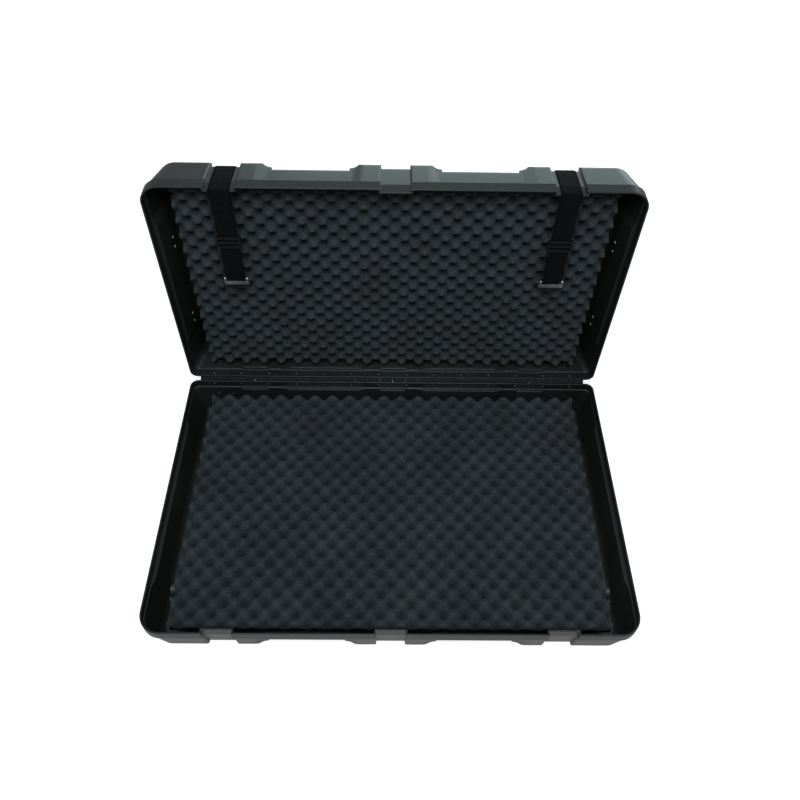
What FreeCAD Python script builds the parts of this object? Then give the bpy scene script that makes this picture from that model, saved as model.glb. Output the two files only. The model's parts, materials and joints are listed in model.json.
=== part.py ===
import FreeCAD, Part
import math
import os

# Open clamshell travel case for a bicycle: two drafted shells joined by leaf
# hinges, lined with egg-crate foam, closed by two webbing straps.
# World frame: X along the case, Y from the front rim to the hinge, Z up.
# The origin is on the floor, in the middle of the open case's box.
# Shells are drawn in a frame of their own with the rim at z = 0 and the
# outer panel below it. The base is lifted to stand on its panel, and the lid
# is the same shell turned about X until its rim is upright.

# Shells
case_length = 1190.0
case_width = 726.0
shell_depth = 120.0
wall = 4.0
corner_radius = 52.0
back_corner_radius = 22.0
rim_height = 29.0
rim_step = 2.5
side_draft = 14.0
end_draft = 26.0
panel_edge_radius = 20.0
panel_corner_radius = 40.0
back_panel_radius = 26.0

# Strap channels, the ridges beside them and the recesses between
strap_end_inset = 187.0
channel_width = 70.0
channel_depth = 10.0
channel_panel_depth = 7.0
ridge_width = 34.0
outer_ridge_width = 16.0
ridge_run = 42.0
ridge_round = 6.0
flank_overlap = 0.4
recess_panel = 18.0
recess_wall = 7.0
end_recess_width = 410.0
strap_notch = 5.0

# Foam
foam_pitch = 50.8
foam_wave = 26.0
foam_below_rim = 26.0
foam_sheet = 42.0
foam_end_gap = 56.0
foam_side_gap = 27.0
foam_bed_gap = 0.3
pad_inset = 22.0

# Hinges
hinge_offset = 7.0
rim_gap = 0.6
leaf_thickness = 2.0
leaf_height = 22.0
knuckle_diameter = 9.0
hinge_pin_diameter = 4.0
pin_clearance = 0.05
knuckle_gap = 0.4
knuckle_length = 36.0
hinge_space = 2.0
hinge_end_inset = 27.0
seat_gap = 0.05
long_leaf_rivets = 5
short_leaf_rivets = 2

# Casters
caster_end_inset = 97.0
caster_drop = 72.0
caster_plate_width = 58.0
caster_plate_height = 52.0
caster_plate_thickness = 2.5
cheek_thickness = 2.5
wheel_diameter = 44.0
wheel_width = 18.0
tyre_thickness = 5.0
wheel_side_gap = 1.0
wheel_plate_gap = 4.0
axle_diameter = 6.0
axle_clearance = 0.05
axle_head_diameter = 10.0
axle_head_thickness = 2.0
fork_eye_diameter = 17.0
fork_root = 40.0
caster_rivet_inset = 8.0

# Straps
strap_width = 50.0
strap_thickness = 2.0
strap_gap = 0.3
strap_panel_run = 190.0
strap_hang = 300.0
slider_drop = 168.0
slider_width = 62.0
slider_height = 36.0
slider_face = 2.5
hook_bar_diameter = 5.0
hook_length = 14.0
hook_window = 6.0
hook_thickness = 2.5
hook_lip = 9.0
loop_clearance = 0.1
strap_fold_radius = 1.7
strap_bend_radius = 20.0
strap_tab = 30.0
strap_rivet_inset = 20.0
strap_rivet_pair = 26.0
slider_ledge = 0.6
slider_front_bar = 7.0
slider_back_bar = 5.0
hook_width = 60.0
hook_bend_radius = 4.0

# Strap catches under the base
catch_inset = 118.0
catch_width = 62.0
catch_wire = 4.0
catch_reach = 22.0
catch_foot = 14.0
catch_foot_thickness = 2.0

# End handles on the lid
handle_place = 0.461
handle_spacing = 294.0
handle_width = 30.0
handle_thickness = 5.0
handle_rise = 21.0
handle_ramp_start = 46.0
handle_ramp_end = 96.0
handle_bend_radius = 60.0
handle_tail = 24.0
handle_cap_length = 58.0
handle_cap_width = 42.0
handle_cap_thickness = 3.0
end_fitting_depth = 74.0

# Rivets
rivet_diameter = 5.0
rivet_head_diameter = 10.0
rivet_head_height = 2.2
rivet_tip_diameter = 5.5
rivet_sides = 8
handle_rivet_pair = 32.0

half_length = case_length / 2
half_width = case_width / 2
strap_place_x = half_length - strap_end_inset
caster_place_x = half_length - caster_end_inset
side_slope = side_draft / (shell_depth - rim_height)
end_slope = end_draft / (shell_depth - rim_height)
side_angle = math.degrees(math.atan(side_slope))
end_angle = math.degrees(math.atan(end_slope))
hinge_y = half_width + hinge_offset
hinge_z = shell_depth + rim_gap / 2
lid_rim_y = hinge_y + rim_gap / 2
origin_y = (lid_rim_y + shell_depth - half_width) / 2
X_AXIS = FreeCAD.Vector(1, 0, 0)
Y_AXIS = FreeCAD.Vector(0, 1, 0)
Z_AXIS = FreeCAD.Vector(0, 0, 1)


def vec(x, y, z):
    return FreeCAD.Vector(x, y, z)


def box(x0, x1, y0, y1, z0, z1):
    return Part.makeBox(x1 - x0, y1 - y0, z1 - z0, vec(x0, y0, z0))


def cylinder_x(diameter, x0, x1, y, z):
    return Part.makeCylinder(diameter / 2, x1 - x0, vec(x0, y, z), X_AXIS)


def moved(shape, x=0.0, y=0.0, z=0.0):
    copy = shape.copy()
    copy.translate(vec(x, y, z))
    return copy


def turned(shape, centre, axis, angle):
    copy = shape.copy()
    copy.rotate(centre, axis, angle)
    return copy


def mirrored_x(shape):
    return shape.mirror(vec(0, 0, 0), X_AXIS)


def to_base(shape):
    """Carries a shape from the shell frame to the base of the case."""
    return moved(shape, y=-origin_y, z=shell_depth)


def to_lid(shape):
    """Carries a shape from the shell frame, hinge at -Y, to the open lid."""
    upright = turned(shape, vec(0, 0, 0), X_AXIS, 90)
    return moved(upright, y=lid_rim_y - origin_y, z=hinge_z + hinge_offset + half_width)


def rounded_rectangle(length, width, front, back, z):
    """Closed wire in the plane z, centred on the z axis, with radii front at -Y and back at +Y."""
    x, y = length / 2, width / 2
    f, b = front, back
    df, db = f * (1 - math.sqrt(0.5)), b * (1 - math.sqrt(0.5))
    edges = [
        Part.LineSegment(vec(-x + f, -y, z), vec(x - f, -y, z)),
        Part.Arc(vec(x - f, -y, z), vec(x - df, -y + df, z), vec(x, -y + f, z)),
        Part.LineSegment(vec(x, -y + f, z), vec(x, y - b, z)),
        Part.Arc(vec(x, y - b, z), vec(x - db, y - db, z), vec(x - b, y, z)),
        Part.LineSegment(vec(x - b, y, z), vec(-x + b, y, z)),
        Part.Arc(vec(-x + b, y, z), vec(-x + db, y - db, z), vec(-x, y - b, z)),
        Part.LineSegment(vec(-x, y - b, z), vec(-x, -y + f, z)),
        Part.Arc(vec(-x, -y + f, z), vec(-x + df, -y + df, z), vec(-x + f, -y, z)),
    ]
    return Part.Wire([edge.toShape() for edge in edges])


def rim_rectangle(inset, z):
    return rounded_rectangle(case_length - 2 * inset, case_width - 2 * inset,
                             corner_radius - inset, back_corner_radius - inset, z)


def rim_block(inset, bottom, top):
    """Upright prism of the rim outline, drawn in by inset."""
    return Part.Face(rim_rectangle(inset, bottom)).extrude(vec(0, 0, top - bottom))


def tub(wall_inset, panel_inset, offset):
    """Drafted tub under the rim band, with its panel edge rounded.

    offset draws the whole tub in, so that the same call makes the inside."""
    inset = rim_step + wall_inset + offset
    top = offset - rim_height
    bottom = panel_inset + offset - shell_depth
    drop = top - bottom
    upper = rim_rectangle(inset, top)
    lower = rounded_rectangle(
        case_length - 2 * (inset + end_slope * drop),
        case_width - 2 * (inset + side_slope * drop),
        panel_corner_radius - offset, back_panel_radius - offset, bottom)
    body = Part.makeLoft([upper, lower], True, True)
    panel_edges = [edge for edge in body.Edges if edge.BoundBox.ZMax < bottom + 0.01]
    body = body.makeFillet(panel_edge_radius - offset, panel_edges)
    return body.fuse(rim_block(inset, top, offset))


def s_curve(start, end, place):
    """Two equal arcs from start to end, level at both ends."""
    run = end[0] - start[0]
    rise = end[1] - start[1]
    radius = (run * run + rise * rise) / (4 * abs(rise))
    half_turn = math.atan2(abs(rise), abs(run))
    along = math.copysign(radius * math.sin(half_turn), run)
    across = math.copysign(radius * (1 - math.cos(half_turn)), rise)
    middle = (start[0] + run / 2, start[1] + rise / 2)
    first = (start[0] + along, start[1] + across)
    second = (end[0] - along, end[1] - across)
    return [
        Part.Arc(place(*start), place(*first), place(*middle)).toShape(),
        Part.Arc(place(*middle), place(*second), place(*end)).toShape(),
    ]


def line_edges(points, place):
    return [Part.LineSegment(place(*a), place(*b)).toShape() for a, b in zip(points, points[1:])]


def ridge_face(steep, gentle, foot, crest, rounding, place):
    """Face of a ridge's section: a crest between a steep side and a gentle one.

    The first coordinate runs along the wall, the second out of it. The steep
    side is rounded into the crest, and the gentle one falls to the foot in an
    S. The S starts a little over the crest and ends a little under the foot, so
    that it crosses the faces there and doesn't graze them."""
    hand = math.copysign(1.0, gentle - steep)
    under = foot - flank_overlap
    over = crest + flank_overlap
    outside = 2 * crest
    far = gentle + hand * ridge_run
    inner = rounding * (1 - math.sqrt(0.5))
    start = (steep, over - rounding)
    middle = (steep + hand * inner, over - inner)
    end = (steep + hand * rounding, over)
    edges = line_edges([(steep, 0.0), start], place)
    edges.append(Part.Arc(place(*start), place(*middle), place(*end)).toShape())
    edges += line_edges([end, (end[0], outside), (gentle, outside), (gentle, over)], place)
    edges += s_curve((gentle, over), (far, under), place)
    edges += line_edges([(far, under), (far, 0.0), (steep, 0.0)], place)
    return Part.Face(Part.Wire(edges))


def wall_levels(half_size, offset):
    """Outward distances of the recessed wall and the full wall at the rim band."""
    crest = half_size - rim_step - offset
    return crest - recess_wall, crest


def ridge_across(steep, gentle, offset):
    """Space of a ridge that crosses the panel along Y and climbs both side walls."""
    hand = math.copysign(1.0, gentle - steep)
    steep, gentle = steep + hand * offset, gentle - hand * offset
    rounding = ridge_round - offset
    panel_crest = shell_depth - offset
    section = ridge_face(steep, gentle, panel_crest - recess_panel, panel_crest, rounding,
                         lambda a, b: vec(a, -half_width, -b))
    over_panel = section.extrude(vec(0, case_width, 0))
    foot, crest = wall_levels(half_width, offset)
    top = offset - rim_height
    walls = []
    for side in (-1, 1):
        face = ridge_face(steep, gentle, foot, crest, rounding, lambda a, b: vec(a, side * b, top))
        walls.append(face.extrude(vec(0, -side * side_slope * shell_depth, -shell_depth)))
    return over_panel.common(walls[0].fuse(walls[1]))


def corner_space(offset):
    """Space of the corner blocks at the +X end: beyond the end recess along Y."""
    gentle = end_recess_width / 2 + ridge_run + offset
    panel_crest = shell_depth - offset
    foot, crest = wall_levels(half_length, offset)
    top = offset - rim_height
    blocks = []
    for back in (-1, 1):
        section = ridge_face(case_width, gentle, panel_crest - recess_panel, panel_crest, ridge_round,
                             lambda a, b: vec(0, back * a, -b))
        over_panel = section.extrude(vec(case_length, 0, 0))
        face = ridge_face(case_width, gentle, foot, crest, ridge_round, lambda a, b: vec(b, back * a, top))
        end_wall = face.extrude(vec(-end_slope * shell_depth, 0, -shell_depth))
        blocks.append(over_panel.common(end_wall))
    return blocks[0].fuse(blocks[1])


def channel_centres():
    return (-strap_place_x, 0.0, strap_place_x)


def channel_spaces(offset):
    """Space of each channel: over the front and the panel, and up the back to the rim band."""
    half = channel_width / 2 + offset
    spaces = []
    for x in channel_centres():
        front = box(x - half, x + half, -case_width, 0.0, -2 * shell_depth, shell_depth)
        back = box(x - half, x + half, 0.0, case_width, -2 * shell_depth, offset - rim_height)
        spaces.append(front.fuse(back))
    return spaces


def right_ridges(full, offset):
    """Ridges beside the channels of the +X half, and the corner blocks there."""
    edge = channel_width / 2
    near = strap_place_x - edge
    far = strap_place_x + edge
    spans = [(edge, edge + ridge_width), (near, near - ridge_width), (far, far + outer_ridge_width)]
    ridges = [full.common(ridge_across(steep, gentle, offset)) for steep, gentle in spans]
    end_part = full.common(ridge_across(far, case_length, offset))
    return ridges + [end_part.common(corner_space(offset))]


def shell_form(offset):
    """Outside of a shell, or with offset = wall the space inside it."""
    ridges = right_ridges(tub(0.0, 0.0, offset), offset)
    ridges += [mirrored_x(ridge) for ridge in ridges]
    form = rim_block(offset, offset - rim_height, offset)
    form = form.fuse([tub(recess_wall, recess_panel, offset)] + ridges)
    channel_floor = tub(channel_depth - rim_step, channel_panel_depth, offset)
    for space in channel_spaces(offset):
        form = form.cut(space).fuse(channel_floor.common(space))
    return form.removeSplitter()


def build_shell():
    """Shell with its hinge side at +Y, where the channels stop under the rim band."""
    return shell_form(0.0).cut(shell_form(wall))


def build_lid_shell(shell):
    """The shell turned front to +Y, with a notch in its front rim for each strap."""
    shell = half_turn(shell)
    notch_width = strap_width + 2 * slider_ledge
    inside = half_width - channel_depth - wall - slider_ledge
    for x in (-strap_place_x, strap_place_x):
        notch = box(x - notch_width / 2, x + notch_width / 2, inside, half_width, -strap_notch, strap_notch)
        shell = shell.cut(notch)
    return shell


def foam_counts():
    """Half waves of the foam along the case and across it."""
    half_pitch = foam_pitch / 2
    along = 2 * math.floor((half_length - foam_end_gap) / half_pitch)
    across = 2 * math.floor((half_width - foam_side_gap) / half_pitch)
    return along, across


def foam_half_size():
    along, across = foam_counts()
    return along * foam_pitch / 4, across * foam_pitch / 4


def build_foam_sheet():
    """Egg-crate sheet: four-sided peaks and dips in turn on a square grid."""
    along, across = foam_counts()
    half_x, half_y = foam_half_size()
    peak = -foam_below_rim
    bottom = peak - foam_sheet
    step = foam_pitch / 2

    def knot(i, j):
        dip = foam_wave if (i + j) % 2 else 0.0
        return vec(i * step - half_x, j * step - half_y, peak - dip)

    def is_dip(i, j):
        return (i + j) % 2 == 1

    faces = []
    for i in range(along):
        for j in range(across):
            corners = [knot(i, j), knot(i + 1, j), knot(i + 1, j + 1), knot(i, j + 1)]
            first = 0 if is_dip(i, j) else 1
            a, b, c, d = corners[first:] + corners[:first]
            faces.append(Part.Face(Part.makePolygon([a, b, c, a])))
            faces.append(Part.Face(Part.makePolygon([a, c, d, a])))
    edges = [
        [knot(i, 0) for i in range(along + 1)],
        [knot(along, j) for j in range(across + 1)],
        [knot(i, across) for i in range(along, -1, -1)],
        [knot(0, j) for j in range(across, -1, -1)],
    ]
    for top in edges:
        low_end = vec(top[-1].x, top[-1].y, bottom)
        low_start = vec(top[0].x, top[0].y, bottom)
        faces.append(Part.Face(Part.makePolygon(top + [low_end, low_start, top[0]])))
    floor = [vec(top[0].x, top[0].y, bottom) for top in edges]
    faces.append(Part.Face(Part.makePolygon(floor + [floor[0]])))
    skin = Part.makeShell(faces)
    skin.sewShape()
    return Part.Solid(skin)


def build_foam_pad():
    """Flat layer between the egg-crate sheet and the recessed panel."""
    half_x, half_y = foam_half_size()
    top = -foam_below_rim - foam_sheet
    bottom = recess_panel + wall + foam_bed_gap - shell_depth
    return box(pad_inset - half_x, half_x - pad_inset, pad_inset - half_y, half_y - pad_inset, bottom, top)


def ribbon(points, radii, thickness, place, sweep):
    """Strip of even thickness along straight runs and arcs, extruded by sweep."""
    count = len(points)
    runs = []
    for (a0, b0), (a1, b1) in zip(points, points[1:]):
        length = math.hypot(a1 - a0, b1 - b0)
        runs.append(((a1 - a0) / length, (b1 - b0) / length))
    bends = []
    for before, after, radius in zip(runs, runs[1:], radii):
        cross = before[0] * after[1] - before[1] * after[0]
        turn = math.atan2(cross, before[0] * after[0] + before[1] * after[1])
        bends.append((turn, radius, radius * math.tan(abs(turn) / 2)))

    def side_edges(side):
        offset = side * thickness / 2
        edges = []
        for i, (da, db) in enumerate(runs):
            shift = (-db * offset, da * offset)
            trim_start = bends[i - 1][2] if i > 0 else 0.0
            trim_end = bends[i][2] if i < count - 2 else 0.0
            start = (points[i][0] + da * trim_start + shift[0], points[i][1] + db * trim_start + shift[1])
            end = (points[i + 1][0] - da * trim_end + shift[0], points[i + 1][1] - db * trim_end + shift[1])
            edges.append(("line", start, end))
            if i < count - 2:
                turn, radius, trim = bends[i]
                hand = math.copysign(1.0, turn)
                na, nb = runs[i + 1]
                centre = (points[i + 1][0] - da * trim - db * radius * hand,
                          points[i + 1][1] - db * trim + da * radius * hand)
                reach = math.hypot(points[i + 1][0] - centre[0], points[i + 1][1] - centre[1])
                side_radius = radius - hand * offset
                middle = (centre[0] + (points[i + 1][0] - centre[0]) / reach * side_radius,
                          centre[1] + (points[i + 1][1] - centre[1]) / reach * side_radius)
                after = (points[i + 1][0] + na * trim - nb * offset,
                         points[i + 1][1] + nb * trim + na * offset)
                edges.append(("arc", end, middle, after))
        return edges

    def shape_of(edge):
        if edge[0] == "line":
            return Part.LineSegment(place(*edge[1]), place(*edge[2])).toShape()
        return Part.Arc(place(*edge[1]), place(*edge[2]), place(*edge[3])).toShape()

    left = side_edges(1)
    right = side_edges(-1)
    outline = [shape_of(edge) for edge in left]
    outline.append(Part.LineSegment(place(*left[-1][-1]), place(*right[-1][-1])).toShape())
    outline += [shape_of(edge) for edge in reversed(right)]
    outline.append(Part.LineSegment(place(*right[0][1]), place(*left[0][1])).toShape())
    return Part.Face(Part.Wire(Part.__sortEdges__(outline))).extrude(sweep)


def rivet(point, outward, grip):
    """Rivet with a head on each side of a stack of thickness grip."""
    def ring(diameter, height):
        corners = []
        for k in range(rivet_sides + 1):
            angle = 2 * math.pi * k / rivet_sides
            corners.append(vec(diameter / 2 * math.cos(angle), diameter / 2 * math.sin(angle), height))
        return Part.makePolygon(corners)

    sections = [(rivet_tip_diameter, rivet_head_height), (rivet_head_diameter, 0.0)]
    outer_head = Part.makeLoft([ring(*section) for section in sections], True, True)
    shank = Part.Face(ring(rivet_diameter, 0.0)).extrude(vec(0, 0, -grip))
    inner_head = Part.makeLoft([ring(d, -grip - h) for d, h in sections], True, True)
    solid = outer_head.fuse([shank, inner_head])
    solid.Placement = FreeCAD.Placement(point, FreeCAD.Rotation(Z_AXIS, outward))
    return solid


def hinge_axis():
    """Hinge line beside a shell's +Y rim, as (y, z) in the shell frame."""
    return half_width + hinge_offset, rim_gap / 2


def knuckle_count(length):
    """Odd number of knuckles of about the wanted length."""
    return 2 * math.floor(length / (2 * knuckle_length)) + 1


def build_hinge_leaf(length, first):
    """Leaf on the +Y rim band with every second knuckle, from knuckle first."""
    axis_y, axis_z = hinge_axis()
    radius = knuckle_diameter / 2
    web_low = axis_z - radius
    web_top = web_low + leaf_thickness
    seat = half_width + seat_gap
    leaf = box(-length / 2, length / 2, seat, seat + leaf_thickness, web_top - leaf_height, 0.0)
    knuckles = knuckle_count(length)
    pitch = length / knuckles
    for k in range(first, knuckles, 2):
        low = k * pitch - length / 2 + knuckle_gap / 2
        high = low + pitch - knuckle_gap
        barrel = cylinder_x(knuckle_diameter, low, high, axis_y, axis_z)
        web = box(low, high, seat, axis_y, web_low, web_top)
        leaf = leaf.fuse([barrel, web])
    bore = cylinder_x(hinge_pin_diameter + 2 * pin_clearance, -length, length, axis_y, axis_z)
    return leaf.cut(bore).removeSplitter()


def build_hinge_pin(length):
    axis_y, axis_z = hinge_axis()
    return cylinder_x(hinge_pin_diameter, -length / 2, length / 2, axis_y, axis_z)


def leaf_rivets(length, count):
    """Rivets of one leaf, evenly spread along it."""
    axis_z = hinge_axis()[1]
    height = axis_z - knuckle_diameter / 2 + leaf_thickness - leaf_height / 2
    stack = wall + seat_gap + leaf_thickness
    places = [(2 * k + 1 - count) * length / (2 * count) for k in range(count)]
    return [rivet(vec(x, half_width + seat_gap + leaf_thickness, height), Y_AXIS, stack) for x in places]


def hinge_table():
    """Name, place along X, length and rivet count of each hinge.

    The hinges follow each other along the rim, and part at the channels."""
    end = half_length - hinge_end_inset
    long = strap_place_x - hinge_space
    short = end - strap_place_x - hinge_space / 2
    long_x = strap_place_x / 2
    short_x = end - short / 2
    return [
        ("left_end", -short_x, short, short_leaf_rivets),
        ("left", -long_x, long, long_leaf_rivets),
        ("right", long_x, long, long_leaf_rivets),
        ("right_end", short_x, short, short_leaf_rivets),
    ]


def to_back_wall(shape):
    """Carries a caster, plate in XZ and outward +Y, to the drafted +Y wall."""
    tilted = turned(shape, vec(0, 0, 0), X_AXIS, -side_angle)
    y = half_width - rim_step - side_slope * (caster_drop - rim_height)
    return moved(tilted, y=y, z=-caster_drop)


def wheel_axis_out():
    return seat_gap + caster_plate_thickness + wheel_plate_gap + wheel_diameter / 2


def fork_inner():
    return wheel_width / 2 + wheel_side_gap


def build_caster_fork():
    plate_out = seat_gap + caster_plate_thickness
    fork = box(-caster_plate_width / 2, caster_plate_width / 2, seat_gap, plate_out,
               -caster_plate_height / 2, caster_plate_height / 2)
    axis = wheel_axis_out()
    inner = fork_inner()
    outline = [vec(inner, plate_out, -fork_root / 2), vec(inner, axis, -fork_eye_diameter / 2),
               vec(inner, axis, fork_eye_diameter / 2), vec(inner, plate_out, fork_root / 2)]
    cheek = Part.Face(Part.makePolygon(outline + [outline[0]])).extrude(vec(cheek_thickness, 0, 0))
    cheek = cheek.fuse(cylinder_x(fork_eye_diameter, inner, inner + cheek_thickness, axis, 0))
    fork = fork.fuse([cheek, mirrored_x(cheek)])
    hole = cylinder_x(axle_diameter + 2 * axle_clearance, -caster_plate_width, caster_plate_width, axis, 0)
    return fork.cut(hole).removeSplitter()


def build_caster_axle():
    axis = wheel_axis_out()
    out = fork_inner() + cheek_thickness + axle_clearance
    axle = cylinder_x(axle_diameter, -out, out, axis, 0)
    for low, high in ((-out - axle_head_thickness, -out), (out, out + axle_head_thickness)):
        axle = axle.fuse(cylinder_x(axle_head_diameter, low, high, axis, 0))
    return axle.removeSplitter()


def build_wheel_hub():
    axis = wheel_axis_out()
    hub = cylinder_x(wheel_diameter - 2 * tyre_thickness, -wheel_width / 2, wheel_width / 2, axis, 0)
    bore = cylinder_x(axle_diameter + 2 * axle_clearance, -wheel_width, wheel_width, axis, 0)
    return hub.cut(bore)


def build_wheel_tyre():
    axis = wheel_axis_out()
    tyre = cylinder_x(wheel_diameter, -wheel_width / 2, wheel_width / 2, axis, 0)
    tyre = tyre.makeChamfer(tyre_thickness / 2, [edge for edge in tyre.Edges if len(edge.Vertexes) == 1])
    inside = wheel_diameter - 2 * tyre_thickness + 2 * seat_gap
    return tyre.cut(cylinder_x(inside, -wheel_width, wheel_width, axis, 0))


def caster_rivets():
    x = caster_plate_width / 2 - caster_rivet_inset
    z = caster_plate_height / 2 - caster_rivet_inset
    stack = wall * math.cos(math.radians(side_angle)) + seat_gap + caster_plate_thickness
    out = seat_gap + caster_plate_thickness
    return [rivet(vec(a * x, out, b * z), Y_AXIS, stack) for a in (-1, 1) for b in (-1, 1)]


def strap_plane():
    """Height of the hanging strap's middle, just under the rim plane."""
    return strap_gap + strap_thickness / 2 - strap_notch


def hook_axis():
    """Bar of the strap's hook, as (y, z) in the shell frame."""
    loop = hook_bar_diameter / 2 + loop_clearance + strap_thickness / 2
    return half_width - channel_depth - strap_hang, strap_plane() - loop


def strap_place(x):
    return lambda y, z: vec(x - strap_width / 2, y, z)


def build_strap(x):
    """Webbing from the panel over the front wall and rim, sewn round the hook's bar."""
    out = strap_gap + strap_thickness / 2
    panel = channel_panel_depth - shell_depth - out
    front = half_width - channel_depth + out
    low_front = front + side_slope * (panel + rim_height)
    level = strap_plane()
    bar_y, bar_z = hook_axis()
    loop = level - bar_z
    tab_level = level - strap_thickness - seat_gap
    points = [
        (low_front - strap_panel_run, panel), (low_front, panel), (front, -rim_height), (front, level),
        (bar_y - loop, level), (bar_y - loop, 2 * bar_z - level),
        (bar_y + loop, 2 * bar_z - level),
        (bar_y + 4 * loop, tab_level), (bar_y + 4 * loop + strap_tab, tab_level)]
    tight = loop - seat_gap
    radii = [panel_edge_radius + out, strap_bend_radius, strap_fold_radius, tight, tight, loop, loop]
    return ribbon(points, radii, strap_thickness, strap_place(x), vec(strap_width, 0, 0))


def strap_rivets(x):
    panel = channel_panel_depth - shell_depth
    start = half_width - channel_depth - side_draft - strap_panel_run + strap_rivet_inset
    out = vec(0, 0, -1)
    surface = panel - strap_gap - strap_thickness
    stack = wall + strap_gap + strap_thickness
    return [rivet(vec(x + s * strap_rivet_pair / 2, start, surface), out, stack) for s in (-1, 1)]


def build_slider(x):
    """Ladder slider: side rails, three bars over the strap and two under it."""
    level = strap_plane()
    centre = half_width - channel_depth - slider_drop
    inner = strap_width / 2 + slider_ledge
    clear = strap_thickness / 2 + strap_gap
    rails = []
    for side in (-1, 1):
        low, high = sorted((side * inner, side * slider_width / 2))
        rails.append(box(x + low, x + high, centre - slider_height / 2, centre + slider_height / 2,
                         level - clear - slider_face, level + clear + slider_face))
    bars = []
    spread = (slider_height - slider_front_bar) / 2
    for shift in (-spread, 0.0, spread):
        bars.append(box(x - inner, x + inner, centre + shift - slider_front_bar / 2,
                        centre + shift + slider_front_bar / 2, level + clear, level + clear + slider_face))
    for shift in (-spread / 2, spread / 2):
        bars.append(box(x - inner, x + inner, centre + shift - slider_back_bar / 2,
                        centre + shift + slider_back_bar / 2, level - clear - slider_face, level - clear))
    return rails[0].fuse(rails[1:] + bars).removeSplitter()


def build_hook(x):
    """Flat hook: a bar in the strap's loop, two ears and a plate with a turned lip."""
    y, z = hook_axis()
    bar = cylinder_x(hook_bar_diameter, x - hook_width / 2, x + hook_width / 2, y, z)
    plate_top = y - hook_bar_diameter / 2 - loop_clearance - strap_thickness - hook_window
    bend = hook_bend_radius
    end = plate_top - hook_length
    lip_z = z - 2 * bend - slider_ledge
    points = [(plate_top, z), (end, z), (end, lip_z), (end + hook_lip, lip_z)]
    place = lambda a, b: vec(x - hook_width / 2, a, b)
    plate = ribbon(points, [bend, bend], hook_thickness, place, vec(hook_width, 0, 0))
    ear = hook_width / 2 - strap_width / 2 - slider_ledge
    ears = []
    for low in (x - hook_width / 2, x + hook_width / 2 - ear):
        ears.append(box(low, low + ear, plate_top, y, z - hook_thickness / 2, z + hook_thickness / 2))
    return plate.fuse([bar] + ears).removeSplitter()


def catch_bar_y():
    return catch_inset - half_width


def build_catch(x):
    """Loop under the base's channel: a riveted foot, two arms and a round bar."""
    floor = channel_panel_depth - shell_depth - seat_gap
    y = catch_bar_y()
    half = catch_width / 2
    foot_low = floor - catch_foot_thickness
    foot_end = y + catch_reach + catch_foot
    foot = box(x - half, x + half, y + catch_reach, foot_end, foot_low, floor)
    low = foot_low - catch_wire
    arms = [box(left, left + catch_wire, y, foot_end, low, foot_low)
            for left in (x - half, x + half - catch_wire)]
    bar = cylinder_x(catch_wire, x - half, x + half, y, low + catch_wire / 2)
    return foot.fuse(arms + [bar]).removeSplitter()


def catch_rivets(x):
    surface = channel_panel_depth - shell_depth - seat_gap - catch_foot_thickness
    y = catch_bar_y() + catch_reach + catch_foot / 2
    stack = wall + seat_gap + catch_foot_thickness
    return [rivet(vec(x + s * strap_rivet_pair / 2, y, surface), vec(0, 0, -1), stack) for s in (-1, 1)]


def to_end_wall(shape):
    """Carries an end fitting, outward +X, to the recessed +X end wall of the lid."""
    tilted = turned(shape, vec(0, 0, 0), Y_AXIS, end_angle)
    x = half_length - rim_step - recess_wall - end_slope * (end_fitting_depth - rim_height)
    return moved(tilted, x=x, y=handle_place * case_width - half_width, z=-end_fitting_depth)


def build_handle_grip():
    """Bowed strap handle along Y."""
    low = seat_gap + handle_thickness / 2
    end = handle_spacing / 2
    half = [(end + handle_tail, low), (end - handle_ramp_start, low),
            (end - handle_ramp_end, low + handle_rise)]
    points = half + [(-a, b) for a, b in reversed(half)]
    place = lambda a, b: vec(b, a, -handle_width / 2)
    return ribbon(points, [handle_bend_radius] * 4, handle_thickness, place, vec(0, 0, handle_width))


def build_handle_caps():
    """Cover over each end of the handle strap, open towards the grip."""
    under = seat_gap + handle_thickness + seat_gap
    top = under + handle_cap_thickness
    slot = handle_width / 2 + seat_gap
    caps = []
    for side in (-1, 1):
        middle = side * handle_spacing / 2
        block = box(seat_gap, top, middle - handle_cap_length / 2, middle + handle_cap_length / 2,
                    -handle_cap_width / 2, handle_cap_width / 2)
        upright = [edge for edge in block.Edges if edge.BoundBox.XLength > handle_cap_thickness]
        block = block.makeFillet((handle_cap_width - handle_width) / 2, upright)
        tail = handle_spacing / 2 + handle_tail + seat_gap
        low, high = sorted((0.0, side * tail))
        caps.append(block.cut(box(0.0, under, low, high, -slot, slot)))
    return Part.makeCompound(caps)


def handle_rivets():
    under = 2 * seat_gap + handle_thickness + handle_cap_thickness
    stack = wall * math.cos(math.radians(end_angle)) + under
    places = [a * handle_spacing / 2 + b * handle_rivet_pair / 2 for a in (-1, 1) for b in (-1, 1)]
    return [rivet(vec(under, y, 0), X_AXIS, stack) for y in places]


def half_turn(shape):
    """Turns a fitting of the +Y wall to the lid's hinge side at -Y."""
    return turned(shape, vec(0, 0, 0), Z_AXIS, 180)


def export(name, shape):
    shape.exportStep("parts/" + name + ".step")


def export_hinges():
    """Leaves and pins. Returns the rivets of the base's leaves and of the lid's."""
    base_rivets, lid_rivets = [], []
    for name, x, length, count in hinge_table():
        export("hinge_leaf_base_" + name, to_base(moved(build_hinge_leaf(length, 0), x=x)))
        export("hinge_pin_" + name, to_base(moved(build_hinge_pin(length), x=x)))
        export("hinge_leaf_lid_" + name, to_lid(moved(half_turn(build_hinge_leaf(length, 1)), x=x)))
        rivets = leaf_rivets(length, count)
        base_rivets += [to_base(moved(one, x=x)) for one in rivets]
        lid_rivets += [to_lid(moved(half_turn(one), x=x)) for one in rivets]
    return base_rivets, lid_rivets


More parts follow.
